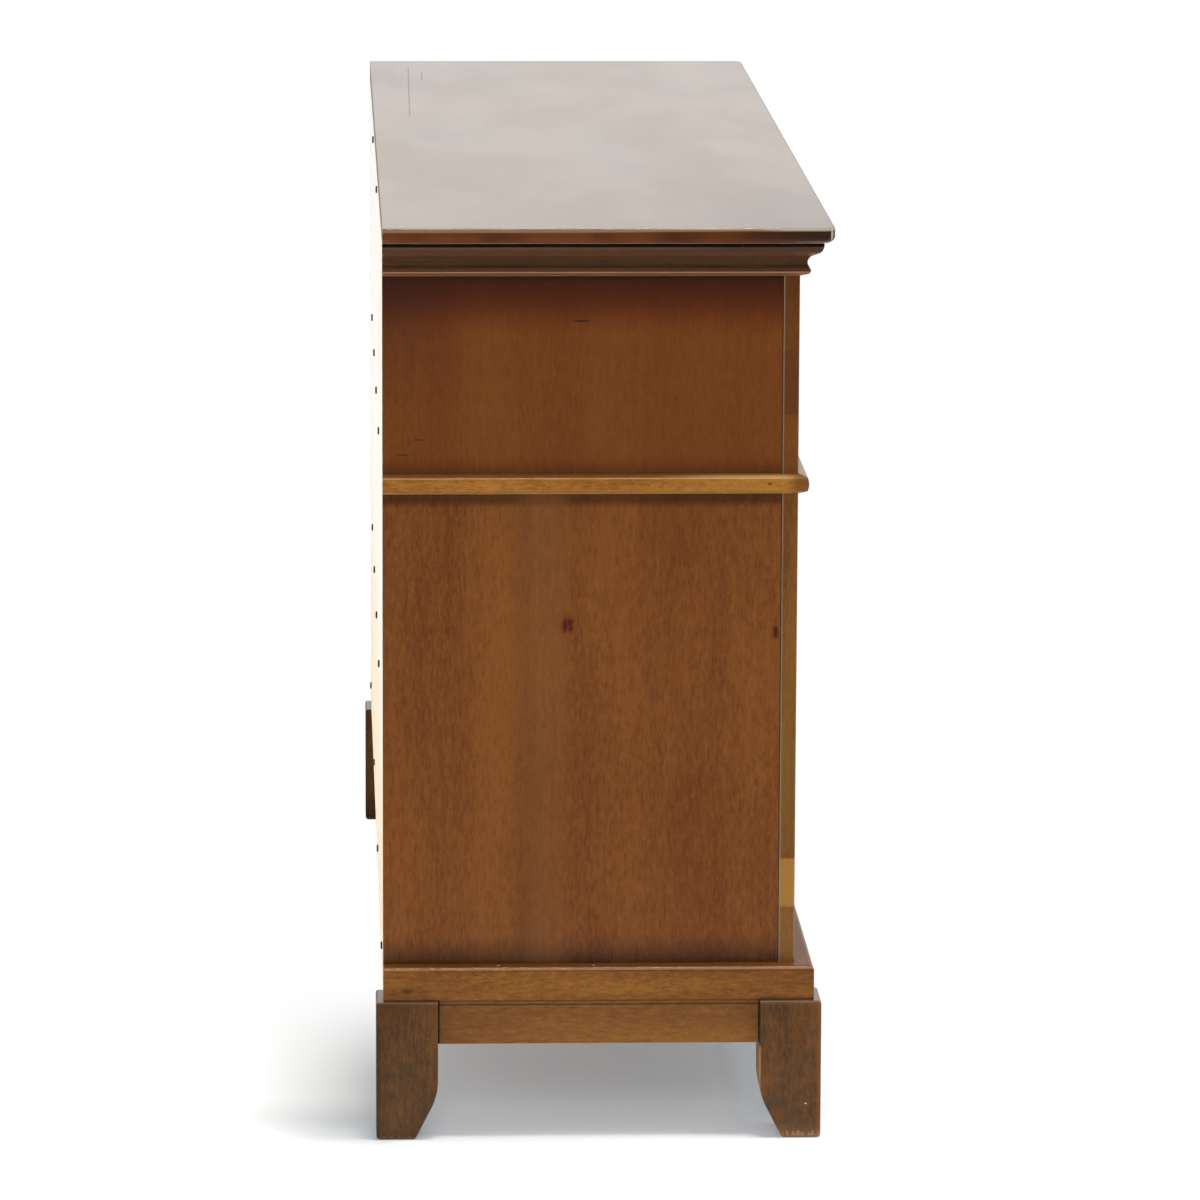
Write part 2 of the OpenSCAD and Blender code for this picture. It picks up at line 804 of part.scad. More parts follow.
module drawer_knobs(d) {
    color(bronze) for (x = knob_places(d))
        translate([d[1] + x, face_y, (d[3] + d[4]) / 2])
        rotate([90, 0, 0]) {
            knob();
            translate([0, 0, -front_thickness]) cylinder(r = knob_screw, h = front_thickness + knob_thread);
            translate([0, 0, -front_thickness - knob_screw_head_height])
                cylinder(r = knob_screw_head, h = knob_screw_head_height);
        }
}

top_panel();
top_lift_frame();
crown_moulding_front();
crown_moulding_left();
crown_moulding_right();
left_side_panel();
right_side_panel();
left_stile();
right_stile();
top_rail();
belt_rail();
middle_rail();
bottom_rail();
drawer_dividers();
belt_moulding_front();
belt_moulding_left();
belt_moulding_right();
base_moulding_front();
base_moulding_left();
base_moulding_right();
front_apron();
left_apron();
right_apron();
front_left_foot();
front_right_foot();
rear_left_foot();
rear_right_foot();
glue_blocks();
back_panel();
back_rails();
back_screws();
drawer_guides();
for (d = drawers) {
    drawer_front(d);
    drawer_box(d);
    drawer_bottom(d);
    drawer_knobs(d);
}
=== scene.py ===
"""A long wooden dresser on bracket feet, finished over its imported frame.

Metres, in the frame's own axes: X along the length, the front faces -Y and Z is up.
"""
from math import cos, pi, radians, sin

import bmesh
import bpy
from mathutils import Matrix, Vector


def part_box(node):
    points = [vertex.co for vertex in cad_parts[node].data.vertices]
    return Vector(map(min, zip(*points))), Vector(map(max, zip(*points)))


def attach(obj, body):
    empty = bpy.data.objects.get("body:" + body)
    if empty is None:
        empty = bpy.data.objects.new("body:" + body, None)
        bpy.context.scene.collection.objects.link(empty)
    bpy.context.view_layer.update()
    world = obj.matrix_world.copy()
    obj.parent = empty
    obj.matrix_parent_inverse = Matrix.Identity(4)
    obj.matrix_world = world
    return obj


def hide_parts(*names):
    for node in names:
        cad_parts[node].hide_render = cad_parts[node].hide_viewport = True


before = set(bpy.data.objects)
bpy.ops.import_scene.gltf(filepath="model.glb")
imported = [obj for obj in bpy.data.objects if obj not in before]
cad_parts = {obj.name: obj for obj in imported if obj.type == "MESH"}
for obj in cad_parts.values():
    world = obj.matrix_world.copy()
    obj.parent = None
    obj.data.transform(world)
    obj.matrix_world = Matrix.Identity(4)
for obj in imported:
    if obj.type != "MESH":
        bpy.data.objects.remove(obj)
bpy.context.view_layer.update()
scene = bpy.context.scene
scene.view_settings.view_transform = "Standard"

# Camera
# It looks along the dresser from its left end, a little from above and from behind its middle.
# It stands far off with a long lens, so that the end shows almost square.
lens = 213.48
eye = Vector((-7.9231, 0.2892, 1.8487))
look_down, look_aside, roll = 0.178516, 0.0400656, 0.0040093
ahead = Vector((cos(look_down) * cos(look_aside), -cos(look_down) * sin(look_aside), -sin(look_down)))
level = Vector((-sin(look_aside), -cos(look_aside), 0.0))
upright = level.cross(ahead)
across = level * cos(roll) + upright * sin(roll)
upward = upright * cos(roll) - level * sin(roll)
turn = Matrix((across, upward, -ahead)).transposed()
bpy.ops.object.camera_add(location=eye, rotation=turn.to_euler())
scene.camera = bpy.context.object
scene.camera.data.lens = lens
scene.camera.data.clip_end = 100.0


# Studio
# A white floor that runs out of sight, a soft box high over the left end, and weaker ones in
# front, on the camera's side and behind. Only the dresser's shadow shows on the floor.
class Reading:
    """A number, colour or vector that a finish works out. Sums with it add Math nodes."""

    def __init__(self, finish, socket):
        self.finish = finish
        self.socket = socket

    def math(self, operation, first, second):
        return self.finish.node("ShaderNodeMath", {"operation": operation}, {0: first, 1: second})

    def __add__(self, other):
        return self.math("ADD", self, other)

    def __radd__(self, other):
        return self.math("ADD", other, self)

    def __sub__(self, other):
        return self.math("SUBTRACT", self, other)

    def __rsub__(self, other):
        return self.math("SUBTRACT", other, self)

    def __mul__(self, other):
        return self.math("MULTIPLY", self, other)

    def __rmul__(self, other):
        return self.math("MULTIPLY", other, self)

    def __abs__(self):
        return self.math("ABSOLUTE", self, 0.0)


class Finish:
    """A material or the world, with the few nodes that finishes are worked out with."""

    def __init__(self, name, owner=None):
        self.owner = owner or bpy.data.materials.new(name)
        self.owner.use_nodes = True
        self.tree = self.owner.node_tree
        self.tree.nodes.clear()

    def node(self, kind, settings=None, inputs=None, output=0):
        made = self.tree.nodes.new(kind)
        for name, value in (settings or {}).items():
            setattr(made, name, value)
        for name, value in (inputs or {}).items():
            if isinstance(value, Reading):
                self.tree.links.new(value.socket, made.inputs[name])
            else:
                made.inputs[name].default_value = value
        return Reading(self, made.outputs[output]) if made.outputs else made

    def between(self, value, low, high):
        """0 where value is under low, 1 over high, with a soft step between. low may be the larger."""
        return self.node("ShaderNodeMapRange", {"interpolation_type": "SMOOTHSTEP"},
                         {0: value, 1: low, 2: high})

    def hump(self, value, start, full, fading, end):
        """Rises from 0 at start to 1 at full, and falls again from fading to 0 at end."""
        return self.between(value, start, full) * self.between(value, end, fading)

    def blend(self, first, second, share):
        """One colour laid over another by a share from 0 to 1."""
        return self.node("ShaderNodeMix", {"data_type": "RGBA"}, {
            0: share, 6: first, 7: second}, output=2)


def plain(red, green, blue):
    """A colour of a paint chart, 0 to 255, as the linear values that a shader takes."""
    shares = [v / 255 for v in (red, green, blue)]
    return (*[s / 12.92 if s <= 0.04045 else ((s + 0.055) / 1.055) ** 2.4 for s in shares], 1.0)


def grey(level):
    return plain(level, level, level)


white = (1.0, 1.0, 1.0, 1.0)
floor_half = 30.0
bpy.ops.mesh.primitive_plane_add(size=2 * floor_half, location=(0, 0, 0))
floor = bpy.context.object
floor.name = "floor"
ground = Finish("floor_white")
spot = ground.node("ShaderNodeTexCoord", output="Object")
distance = ground.node("ShaderNodeVectorMath", {"operation": "LENGTH"}, {0: spot}, output="Value")
spot_x = ground.node("ShaderNodeSeparateXYZ", inputs={0: spot}, output="X")
spot_y = ground.node("ShaderNodeSeparateXYZ", inputs={0: spot}, output="Y")

# Painted shadow: a strip just inside the front feet and a patch beside the rear left foot are darker.
front_shadow_strip = ground.hump(spot_y, -0.235, -0.215, -0.185, -0.125)
front_shadow_strip = front_shadow_strip * ground.between(abs(spot_x), 0.80, 0.70)
foot_shadow_patch = ground.hump(spot_x, -0.87, -0.80, -0.74, -0.62)
foot_shadow_patch = foot_shadow_patch * ground.hump(spot_y, 0.20, 0.23, 0.24, 0.43)
shaded = ground.blend(grey(231), grey(174), front_shadow_strip)
shaded = ground.blend(shaded, grey(206), foot_shadow_patch)
matt = ground.node("ShaderNodeBsdfDiffuse", inputs={"Color": shaded})
cool = (0.87, 1.13, 1.38, 1.0)
glow = ground.node("ShaderNodeEmission", inputs={"Color": cool, "Strength": 0.11})
lit = ground.node("ShaderNodeAddShader", inputs={0: matt, 1: glow})

# The camera sees pure white far from the dresser and behind its far half, which paints out the shadow
# there.
pure = ground.node("ShaderNodeEmission", inputs={"Color": white, "Strength": 1.0})
beyond = ground.between(distance, 1.5, 2.5)
behind = ground.between(spot_y, 0.18, 0.225)
far_half = ground.between(spot_x, -0.617, -0.095)
cleared = 1 - (1 - beyond) * (1 - behind * far_half)
shown = ground.node("ShaderNodeMixShader", inputs={0: cleared, 1: lit, 2: pure})

# Polished wood mirrors a dark floor, but for the stretch before the left end.
near_end = ground.between(spot_x, -1.9, -0.6)
mirrored_floor = ground.node("ShaderNodeBsdfDiffuse", inputs={
    "Color": ground.blend(grey(50), grey(225), near_end)})
in_gloss = ground.node("ShaderNodeLightPath", output="Is Glossy Ray")
unseen = ground.node("ShaderNodeMixShader", inputs={0: in_gloss, 1: matt, 2: mirrored_floor})
seen = ground.node("ShaderNodeLightPath", output="Is Camera Ray")
ground.node("ShaderNodeOutputMaterial", inputs={
    "Surface": ground.node("ShaderNodeMixShader", inputs={0: seen, 1: unseen, 2: shown})})
floor.data.materials.append(ground.owner)

# The room is a warm white, and in the polish it is brightest overhead and towards the right end.
room_level, dimmest, brightest = 0.50, 0.04, 0.92
scene.world = scene.world or bpy.data.worlds.new("room")
room = Finish("room", scene.world)
heading = room.node("ShaderNodeTexCoord", output="Generated")
along = room.node("ShaderNodeSeparateXYZ", inputs={0: heading}, output="X")
height = room.node("ShaderNodeSeparateXYZ", inputs={0: heading}, output="Z")
mirrored = dimmest + (brightest - dimmest) * room.between(along + height * 0.9, -0.25, 0.85)
to_camera = room.node("ShaderNodeLightPath", output="Is Camera Ray")
to_gloss = room.node("ShaderNodeLightPath", output="Is Glossy Ray")
strength = to_camera + to_gloss * mirrored + (1 - to_camera) * (1 - to_gloss) * room_level
tint = room.blend((1.0, 0.982, 0.945, 1.0), white, to_camera)
room.node("ShaderNodeOutputWorld", inputs={
    "Surface": room.node("ShaderNodeBackground", inputs={"Color": tint, "Strength": strength})})


def lamp(name, place, towards, width, power):
    """A square soft box that faces a point."""
    bpy.ops.object.light_add(type="AREA", location=place)
    box = bpy.context.object
    box.name = name
    box.rotation_euler = (Vector(towards) - Vector(place)).to_track_quat("-Z", "Y").to_euler()
    box.data.size = width
    box.data.energy = power


lamp("overhead_light", (-0.9, -0.22, 5.0), (-0.9, -0.22, 0.0), 0.8, 165)
lamp("front_light", (-1.0, -2.7, 5.3), (0.0, 0.0, 0.5), 1.8, 115)
lamp("camera_side_light", (-6.5, 0.4, 3.2), (0.0, 0.0, 0.5), 2.2, 110)
lamp("rear_light", (0.6, 4.5, 1.0), (0.0, 0.2, 0.5), 1.5, 78)
bpy.data.objects["camera_side_light"].visible_glossy = False


# Side panels
# Each end is a board faced with reddish brown veneer, its grain upright. Shade is painted on it,
# darker towards the mouldings. The left one has two knots, a dark fleck and faint scratches.
class Wood(Finish):
    """Stained wood: broad bands, fine streaks and pores along the grain, and soft clouds."""

    def __init__(self, name, grain, dark, light, seed, bands=14.0, clouds=0.35, pores=0.3, crossed=None):
        super().__init__(name)
        self.spot = self.node("ShaderNodeTexCoord", output="Object")
        self.seed = seed
        self.grain = grain
        if crossed:
            turned = self.node("ShaderNodeMapping", inputs={
                "Vector": self.spot, "Rotation": (0, 0, pi / 2)})
            self.spot = self.node("ShaderNodeMix", {"data_type": "VECTOR"}, {
                0: crossed(self), 4: self.spot, 5: turned}, output=1)
        broad = self.noise(self.fibres(12), bands, 2.0)
        fine = self.noise(self.fibres(18), 150.0, 4.0, 0.65)
        cloud = self.noise(self.fibres(1.7), 6.0, 3.0)
        mottle = self.noise(self.fibres(3.5), 260.0, 4.0, 0.85)
        tone = broad * (0.8 - clouds) + fine * 0.2 + cloud * clouds + (mottle - 0.5) * 0.75
        self.colour = self.blend(dark, light, self.between(tone, 0.32, 0.68))
        pore = self.between(self.noise(self.fibres(11), 780.0, 2.0), 0.50, 0.74)
        self.stain((dark[0] * 0.45, dark[1] * 0.32, dark[2] * 0.28, 1.0), pore * pores)
        self.relief = fine * 0.4 - pore
        self.roughness = 0.37 + fine * 0.14

    def fibres(self, stretch, grain=None):
        """The place in the wood, drawn out along the grain."""
        scale = [1.0, 1.0, 1.0]
        scale[self.grain if grain is None else grain] = 1 / stretch
        shift = (self.seed, self.seed * 1.7, self.seed * 2.3)
        return self.node("ShaderNodeMapping", inputs={
            "Vector": self.spot, "Location": shift, "Scale": scale})

    def noise(self, place, scale, detail, roughness=0.5):
        return self.node("ShaderNodeTexNoise", inputs={
            "Vector": place, "Scale": scale, "Detail": detail, "Roughness": roughness}, output="Fac")

    def axis(self, name):
        return self.node("ShaderNodeSeparateXYZ", inputs={0: self.spot}, output=name)

    def shade(self, mask, amount):
        """Darkens the colour where mask is 1."""
        self.colour = self.blend(self.colour, (0.0, 0.0, 0.0, 1.0), mask * amount)

    def stain(self, colour, mask):
        """Lays another stain where mask is 1."""
        self.colour = self.blend(self.colour, colour, mask)

    def band(self, value, low, high, soft):
        """1 between low and high, and 0 beyond them."""
        return self.hump(value, low - soft, low, high, high + soft)

    def around(self, centre, reach, ragged=0.0):
        """1 at centre, falling to 0 at reach along each axis, with an uneven outline if ragged."""
        offset = self.node("ShaderNodeVectorMath", {"operation": "SUBTRACT"}, {
            0: self.spot, 1: centre})
        part = self.node("ShaderNodeVectorMath", {"operation": "DIVIDE"}, {0: offset, 1: reach})
        far = self.node("ShaderNodeVectorMath", {"operation": "LENGTH"}, {0: part}, output="Value")
        if ragged:
            far = far + (self.noise(self.spot, 1.5 / min(reach), 3.0) - 0.5) * ragged
        return self.between(far, 1.0, 0.35)

    def mark(self, colour, centre, reach, share=1.0, ragged=0.0):
        """A small stain of its own, such as a knot, a chip or a scratch."""
        self.stain(colour, self.around(centre, reach, ragged) * share)

    def finish(self, depth=0.00005, specular=0.15, coat=0.8, coat_roughness=0.14, metallic=0.0):
        """Closes the material with its relief, gloss and lacquer."""
        bump = self.node("ShaderNodeBump", inputs={
            "Strength": 1.0, "Distance": depth, "Height": self.relief})
        shader = self.node("ShaderNodeBsdfPrincipled", inputs={
            "Base Color": self.colour, "Roughness": self.roughness, "Normal": bump, "Metallic": metallic,
            "Specular IOR Level": specular, "Coat Weight": coat, "Coat Roughness": coat_roughness})
        self.node("ShaderNodeOutputMaterial", inputs={"Surface": shader})
        return self.owner


def wear(node, material):
    """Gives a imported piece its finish."""
    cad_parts[node].data.materials[0] = material


def eased(node, material, body="case", ease=0.0005):
    """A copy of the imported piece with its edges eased, as sandpaper leaves them."""
    bpy.ops.object.select_all(action="DESELECT")
    piece = bpy.data.objects.new(f"{node}_eased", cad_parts[node].data.copy())
    scene.collection.objects.link(piece)
    piece.select_set(True)
    bpy.context.view_layer.objects.active = piece
    bpy.ops.object.mode_set(mode="EDIT")
    bpy.ops.mesh.select_all(action="SELECT")
    bpy.ops.mesh.customdata_custom_splitnormals_clear()
    bpy.ops.mesh.remove_doubles(threshold=0.00001)
    bpy.ops.mesh.dissolve_limited(angle_limit=radians(0.5))
    bpy.ops.object.mode_set(mode="OBJECT")
    bevel = piece.modifiers.new("ease", "BEVEL")
    bevel.width = ease
    bevel.segments = 2
    bevel.limit_method = "ANGLE"
    bevel.angle_limit = radians(32)
    bpy.ops.object.modifier_apply(modifier=bevel.name)
    bpy.ops.object.shade_smooth_by_angle(angle=radians(40))
    flats = piece.modifiers.new("flats", "WEIGHTED_NORMAL")
    flats.keep_sharp = True
    bpy.ops.object.modifier_apply(modifier=flats.name)
    piece.data.materials.clear()
    piece.data.materials.append(material)
    wear(node, material)
    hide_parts(node)
    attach(piece, body)


crown_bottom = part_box("crown_moulding_left")[0].z
belt_bottom, belt_top = (corner.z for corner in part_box("belt_moulding_left"))
base_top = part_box("base_moulding_left")[1].z
into_wood = 0.02
for side, seed in (("left", 0.31), ("right", 5.83)):
    low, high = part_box(f"{side}_side_panel")
    wood = Wood(f"{side}_side_veneer", 2, plain(104, 55, 15), plain(129, 76, 26), seed, pores=0.40)
    rise, depth = wood.axis("Z"), wood.axis("Y")
    above = wood.between(rise, belt_bottom, belt_top)
    under_crown = crown_bottom - rise
    red = wood.noise(wood.fibres(3), 8.0, 2.0)
    wood.stain(plain(118, 58, 16), wood.between(red, 0.42, 0.68) * 0.22)
    wood.stain(plain(107, 53, 7), above * 0.50)

    # Painted shade, redder under the crown, and also above and below the belt, over the base and at the
    # rear top.
    wood.stain(plain(96, 36, 10), wood.between(under_crown, 0.070, 0.020) * 0.6)
    wood.shade(wood.between(under_crown, 0.060, 0.002), 0.58)
    wood.shade(wood.between(under_crown, 0.0060, 0.0035), 0.30)
    wood.shade(wood.between(rise - belt_top, 0.020, 0.0) * above, 0.25)
    wood.shade(wood.between(belt_bottom - rise, 0.016, 0.006) * (1 - above), 0.55)
    wood.shade(wood.between(rise - base_top, 0.034, 0.002), 0.50)
    shaded_rear_corner = wood.between(high.y - depth, 0.11, 0.0) * wood.between(under_crown, 0.17, 0.0)
    wood.stain(plain(58, 28, 22), shaded_rear_corner * 0.55)
    # Painted shade in the groove along the front edge.
    wood.shade(wood.between(depth, low.y + 0.0010, low.y + 0.0004), 0.8)
    if side == "left":
        # A pale streak beside a dark one, the two knots, the fleck and the scratches.
        knot, fleck = plain(70, 22, 12), plain(50, 25, 12)
        wood.stain(plain(128, 82, 38), wood.band(depth, 0.052, 0.072, 0.03) * (1 - above) * 0.35)
        wood.shade(wood.band(depth, 0.078, 0.086, 0.012) * (1 - above), 0.12)
        wood.mark(plain(118, 56, 22), (low.x, 0.0359, 0.5310), (into_wood, 0.018, 0.026), 0.25, 0.8)
        wood.mark(plain(104, 40, 16), (low.x, 0.0359, 0.5338), (into_wood, 0.010, 0.013), 0.7, 0.9)
        for y, z, wide, tall in ((0.0385, 0.5330, 0.003, 0.010), (0.0335, 0.5362, 0.004, 0.005),
                                 (0.0330, 0.5300, 0.003, 0.004), (-0.1769, 0.5258, 0.004, 0.009)):
            wood.mark(knot, (low.x, y, z), (into_wood, wide, tall), 0.9, 1.2)
        wood.mark(fleck, (low.x, 0.0227, 0.8468), (into_wood, 0.012, 0.0016), 0.9, 0.6)
        for y, z in ((0.1878, 0.7252), (0.2041, 0.7098)):
            wood.mark(fleck, (low.x, y, z), (into_wood, 0.009, 0.0014), 0.5, 0.8)
    eased(f"{side}_side_panel", wood.finish(), ease=0.0004)

# Stiles
# The solid strips that close the case at the front, glued against the panels. They are pieced
# from short lengths, so the colour changes along them and one length is golden.
joint_level, dark_top = 0.7500, 0.8168
golden_bottom, golden_top = 0.240, 0.2874
for side, seed in (("left", 1.13), ("right", 7.41)):
    low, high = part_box(f"{side}_stile")
    wood = Wood(f"{side}_stile_wood", 2, plain(104, 61, 18), plain(126, 82, 30), seed,
                bands=40.0, clouds=0.2)
    rise, depth = wood.axis("Z"), wood.axis("Y")
    wood.stain(plain(102, 53, 12), wood.between(rise, joint_level - 0.0001, joint_level + 0.0003) * 0.6)
    wood.stain(plain(84, 50, 22), wood.band(rise, joint_level + 0.0001, dark_top, 0.0003) * 0.45)
    wood.stain(plain(116, 62, 18), wood.band(rise, 0.69, joint_level - 0.0001, 0.0003) * 0.6)
    wood.stain(plain(116, 84, 30), wood.band(rise, 0.33, 0.40, 0.05) * 0.45)
    wood.stain(plain(178, 130, 58), wood.band(rise, golden_bottom, golden_top, 0.0030) * 0.60)
    wood.stain(plain(150, 106, 52), wood.between(rise, golden_bottom, golden_bottom - 0.0003) * 0.3)
    # Painted shade under the crown, and a painted highlight on the edge beside the groove.
    wood.shade(wood.between(crown_bottom - rise, 0.060, 0.0), 0.30)
    groove_highlight = wood.between(high.y - depth, 0.0018, 0.0010)
    wood.stain(plain(158, 146, 124), groove_highlight * 0.55)
    eased(f"{side}_stile", wood.finish())

# Rails and dividers
# Four rails tie the stiles together between the drawers, and short dividers stand on them.
# They are of the stiles' wood, glued, and stained with the rest.
for number, rail in enumerate(("top_rail", "belt_rail", "middle_rail", "bottom_rail")):
    wood = Wood(f"{rail}_wood", 0, plain(100, 58, 27), plain(128, 80, 40), 2.3 + number, bands=30.0)
    eased(rail, wood.finish())
wood = Wood("divider_wood", 2, plain(100, 58, 27), plain(128, 80, 40), 6.9, bands=30.0)
eased("drawer_dividers", wood.finish())


# Inside blocks, guides and back rails
# Glue blocks in the corners of the plinth, centre guides for the drawers and four rails behind
# the back. They are of pale wood left raw, sawn and glued.
def raw(name, grain, seed, dark=(172, 128, 82), light=(205, 164, 114), crossed=None):
    """Pale unfinished wood with open pores and no gloss."""
    wood = Wood(name, grain, plain(*dark), plain(*light), seed,
                bands=26.0, clouds=0.25, crossed=crossed)
    rings = wood.noise(wood.fibres(26), 60.0, 1.0)
    wood.stain(plain(150, 102, 60), wood.between(rings, 0.55, 0.75) * 0.35)
    wood.roughness = wood.roughness + 0.28
    return wood.finish(depth=0.00012, specular=0.2, coat=0.0)


eased("glue_blocks", raw("glue_block_wood", 2, 3.7))
eased("drawer_guides", raw("guide_wood", 1, 4.9))
eased("back_rails", raw("back_rail_wood", 0, 8.2))

# Back panel
# A thin board of pressed fibre, painted cream, screwed to the back rails. It is yellower towards the
# floor, with faint smudges and the grain of a paint roller.
paint = Wood("back_paint", 0, plain(239, 235, 227), plain(247, 244, 237), 9.4,
             bands=5.0, clouds=0.6, pores=0.0)
cream_above, yellow_below = 0.62, 0.22
paint.stain(plain(240, 217, 184), paint.between(paint.axis("Z"), cream_above, yellow_below) * 0.80)
grit = paint.noise(paint.spot, 900.0, 2.0)
smudge = paint.between(paint.noise(paint.spot, 22.0, 5.0, 0.65), 0.60, 0.78)
paint.stain(plain(196, 178, 148), smudge * 0.25)
paint.relief = grit
paint.roughness = 0.58 + grit * 0.12
wear("back_panel", paint.finish(depth=0.0001, specular=0.3, coat=0.0))

# Back screws
# Fourteen steel screws with low heads and crossed slots hold the back to its rails, two in the
# uppermost row and four in each of the others. Their heads are dull and nearly black.
back_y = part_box("back_panel")[1].y
head_radius, head_height, head_round = 0.0040, 0.0020, 0.0009
shank_radius, shank_length, tip_length = 0.0019, 0.020, 0.004
slot_length, slot_width, slot_depth = 0.0044, 0.0009, 0.0011
outer_ring, inner_ring, dish = 0.0008, 0.0005, 0.00001
bpy.ops.object.select_all(action="DESELECT")
bpy.ops.mesh.primitive_cylinder_add(
    vertices=40, radius=head_radius, depth=head_height,
    location=(0, back_y + head_height / 2, 0), rotation=(-pi / 2, 0, 0))
screw = bpy.context.object
bpy.ops.object.transform_apply(location=True, rotation=True, scale=True)
bpy.ops.object.mode_set(mode="EDIT")
bpy.ops.mesh.select_all(action="DESELECT")
form = bmesh.from_edit_mesh(screw.data)
form.select_mode = {"FACE"}
for face in form.faces:
    face.select_set(face.normal.y > 0.9)
bmesh.update_edit_mesh(screw.data)
bpy.ops.mesh.inset(thickness=outer_ring)
bpy.ops.transform.translate(value=(0, -dish, 0))
bpy.ops.mesh.inset(thickness=inner_ring)
bpy.ops.mesh.select_all(action="DESELECT")
form = bmesh.from_edit_mesh(screw.data)
for face in form.faces:
    face.select_set(face.normal.y < -0.9)
bmesh.update_edit_mesh(screw.data)
bpy.ops.mesh.inset(thickness=head_radius - shank_radius)
for length in (shank_length - tip_length, tip_length):
    bpy.ops.mesh.extrude_region_move(TRANSFORM_OT_translate={"value": (0, -length, 0)})
bpy.ops.mesh.merge(type="CENTER")
bpy.ops.object.mode_set(mode="OBJECT")
rim = screw.modifiers.new("rim", "BEVEL")
rim.width = head_round
rim.segments = 4
rim.limit_method = "ANGLE"
rim.angle_limit = radians(60)
bpy.ops.object.modifier_apply(modifier=rim.name)
for turned in (0, pi / 2):
    bpy.ops.mesh.primitive_cube_add(
        size=1, location=(0, back_y + head_height, 0), rotation=(0, turned, 0),
        scale=(slot_length, 2 * slot_depth, slot_width))
    cutter = bpy.context.object
    bpy.ops.object.select_all(action="DESELECT")
    screw.select_set(True)
    bpy.context.view_layer.objects.active = screw
    cross = screw.modifiers.new("cross", "BOOLEAN")
    cross.object = cutter
    cross.operation = "DIFFERENCE"
    bpy.ops.object.modifier_apply(modifier=cross.name)
    bpy.data.objects.remove(cutter)

steel = Wood("back_screw_steel", 1, plain(46, 43, 40), plain(86, 82, 78), 2.9,
             bands=240.0, clouds=0.4, pores=0.0)
rust = steel.noise(steel.spot, 420.0, 3.0)
steel.stain(plain(92, 58, 38), steel.between(rust, 0.58, 0.72) * 0.5)
steel.roughness = 0.34 + rust * 0.2
steel_finish = steel.finish(depth=0.00004, specular=0.5, coat=0.0, metallic=0.85)
screw.data.materials.append(steel_finish)
rail_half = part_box("back_rails")[1].x
screw_rows = ((0.183, 4, 0.054), (0.42815, 4, 0.3315), (0.6803, 4, 0.3315), (0.9145, 2, 0.529))
driven = []
for row, (z, count, margin) in enumerate(screw_rows):
    reach = rail_half - margin
    for place in range(count):
        copy = bpy.data.objects.new("driven_screw", screw.data.copy())
        scene.collection.objects.link(copy)
        twist = Matrix.Rotation(radians(37 * (place + 1) + 19 * row), 4, "Y")
        copy.data.transform(Matrix.Translation((reach * (2 * place / (count - 1) - 1), 0, z)) @ twist)
        driven.append(copy)
bpy.data.objects.remove(screw)
bpy.ops.object.select_all(action="DESELECT")
for copy in driven:
    copy.select_set(True)
bpy.context.view_layer.objects.active = driven[0]
bpy.ops.object.join()
screws = bpy.context.object
screws.name = "crosshead_screws"
bpy.ops.object.shade_smooth_by_angle(angle=radians(30))
wear("back_screws", steel_finish)
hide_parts("back_screws")
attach(screws, "case")

